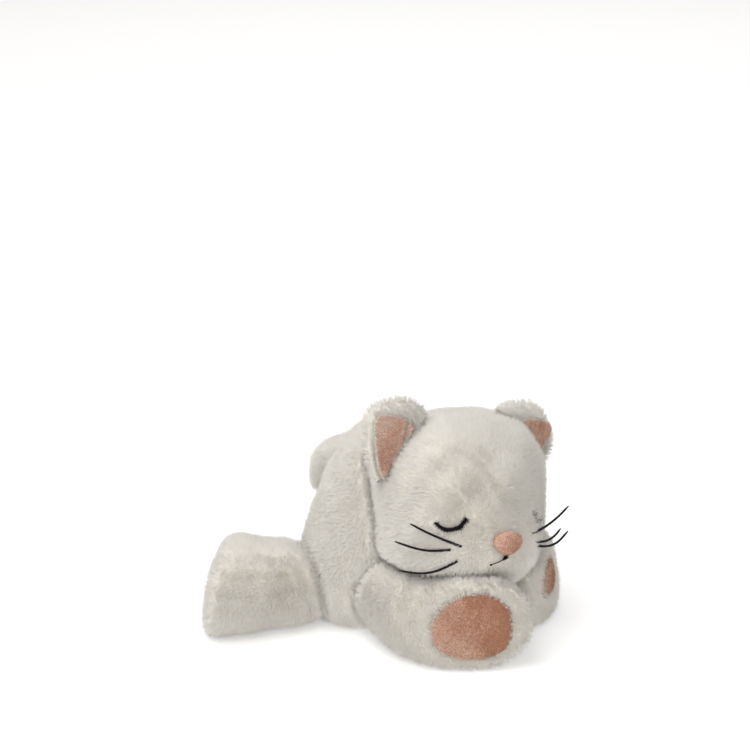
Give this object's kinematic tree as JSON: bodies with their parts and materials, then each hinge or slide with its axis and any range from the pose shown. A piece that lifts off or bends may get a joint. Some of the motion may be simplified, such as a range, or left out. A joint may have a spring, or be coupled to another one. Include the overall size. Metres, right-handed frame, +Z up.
{
  "type": "plush cat",
  "caption": "Lying plush cat with long soft fur, head resting on splayed front paws, velour ear linings and paw pads, embroidered closed eyes and stiff thread whiskers",
  "frame": {"origin": "on the floor below the middle of the whole cat's box", "axes": "+Z up, the body points along -Y with the tail end at +Y, and +X is the cat's left side; the face is turned 23 degrees towards the cat's right"},
  "size_m": [0.2426, 0.2377, 0.1822],
  "materials": {
    "torso_fur_shell": "cream-white long-pile faux fur",
    "torso_stuffing": "white polyester fibre",
    "belly_pellet_pouch": "plain woven pouch holding plastic pellets",
    "head_fur_shell": "cream-white long-pile faux fur",
    "head_stuffing": "white polyester fibre",
    "nose": "dusty-pink short-pile velour",
    "mouth_stitching": "black embroidery thread",
    "right_eye_stitching": "black embroidery thread",
    "left_eye_stitching": "black embroidery thread",
    "right_whisker_1": "stiff waxed black thread",
    "right_whisker_2": "stiff waxed black thread",
    "right_whisker_3": "stiff waxed black thread",
    "left_whisker_1": "stiff waxed black thread",
    "left_whisker_2": "stiff waxed black thread",
    "left_whisker_3": "stiff waxed black thread",
    "right_ear_fur_back": "cream-white long-pile faux fur",
    "right_ear_lining": "dusty-pink short-pile velour",
    "left_ear_fur_back": "cream-white long-pile faux fur",
    "left_ear_lining": "dusty-pink short-pile velour",
    "right_arm_fur_shell": "cream-white long-pile faux fur",
    "right_arm_stuffing": "white polyester fibre",
    "right_paw_pad": "dusty-pink short-pile velour",
    "left_arm_fur_shell": "cream-white long-pile faux fur",
    "left_arm_stuffing": "white polyester fibre",
    "left_paw_pad": "dusty-pink short-pile velour",
    "right_leg_fur_shell": "cream-white long-pile faux fur",
    "right_leg_stuffing": "white polyester fibre",
    "right_sole_pad": "dusty-pink short-pile velour",
    "left_leg_fur_shell": "cream-white long-pile faux fur",
    "left_leg_stuffing": "white polyester fibre",
    "left_sole_pad": "dusty-pink short-pile velour",
    "tail_fur_shell": "cream-white long-pile faux fur",
    "tail_stuffing": "white polyester fibre"
  },
  "bodies": {
    "torso": {"torso_fur_shell": "torso_fur_shell", "torso_stuffing": "torso_stuffing", "belly_pellet_pouch": "belly_pellet_pouch"},
    "head": {"head_fur_shell": "head_fur_shell", "head_stuffing": "head_stuffing", "nose": "nose", "mouth_stitching": "mouth_stitching", "right_eye_stitching": "right_eye_stitching", "left_eye_stitching": "left_eye_stitching", "right_whisker_1": "right_whisker_1", "right_whisker_2": "right_whisker_2", "right_whisker_3": "right_whisker_3", "left_whisker_1": "left_whisker_1", "left_whisker_2": "left_whisker_2", "left_whisker_3": "left_whisker_3"},
    "right_ear": {"right_ear_fur_back": "right_ear_fur_back", "right_ear_lining": "right_ear_lining"},
    "left_ear": {"left_ear_fur_back": "left_ear_fur_back", "left_ear_lining": "left_ear_lining"},
    "right_arm": {"right_arm_fur_shell": "right_arm_fur_shell", "right_arm_stuffing": "right_arm_stuffing", "right_paw_pad": "right_paw_pad"},
    "left_arm": {"left_arm_fur_shell": "left_arm_fur_shell", "left_arm_stuffing": "left_arm_stuffing", "left_paw_pad": "left_paw_pad"},
    "right_leg": {"right_leg_fur_shell": "right_leg_fur_shell", "right_leg_stuffing": "right_leg_stuffing", "right_sole_pad": "right_sole_pad"},
    "left_leg": {"left_leg_fur_shell": "left_leg_fur_shell", "left_leg_stuffing": "left_leg_stuffing", "left_sole_pad": "left_sole_pad"},
    "tail": {"tail_fur_shell": "tail_fur_shell", "tail_stuffing": "tail_stuffing"}
  },
  "joints": [
    {"name": "neck_lift", "type": "hinge", "parent": "torso", "child": "head", "pos_m": [0.0105, 0.0203, 0.092], "axis": [-1, 0, 0], "range_deg": [0, 12]},
    {"name": "right_ear_fold", "type": "hinge", "parent": "head", "child": "right_ear", "pos_m": [-0.0232, -0.0211, 0.142], "axis": [-0.7199, 0.3056, -0.6232], "range_deg": [-15, 20], "stiffness_Nm_per_rad": 0.02},
    {"name": "left_ear_fold", "type": "hinge", "parent": "head", "child": "left_ear", "pos_m": [0.0602, -0.0565, 0.1252], "axis": [-0.5339, 0.2266, 0.8146], "range_deg": [-15, 20], "stiffness_Nm_per_rad": 0.02},
    {"name": "right_arm_swing", "type": "hinge", "parent": "torso", "child": "right_arm", "pos_m": [-0.0245, -0.0017, 0.033], "axis": [0, 0, -1], "range_deg": [-4, 18]},
    {"name": "left_arm_swing", "type": "hinge", "parent": "torso", "child": "left_arm", "pos_m": [0.0315, -0.0017, 0.033], "axis": [0, 0, 1], "range_deg": [-4, 18]},
    {"name": "right_leg_swing", "type": "hinge", "parent": "torso", "child": "right_leg", "pos_m": [-0.0305, 0.0513, 0.027], "axis": [0, 0, 1], "range_deg": [-10, 18]},
    {"name": "left_leg_swing", "type": "hinge", "parent": "torso", "child": "left_leg", "pos_m": [0.0395, 0.0513, 0.027], "axis": [0, 0, -1], "range_deg": [-10, 18]},
    {"name": "tail_lift", "type": "hinge", "parent": "torso", "child": "tail", "pos_m": [0.0105, 0.0423, 0.114], "axis": [1, 0, 0], "range_deg": [-8, 25], "stiffness_Nm_per_rad": 0.1}
  ]
}
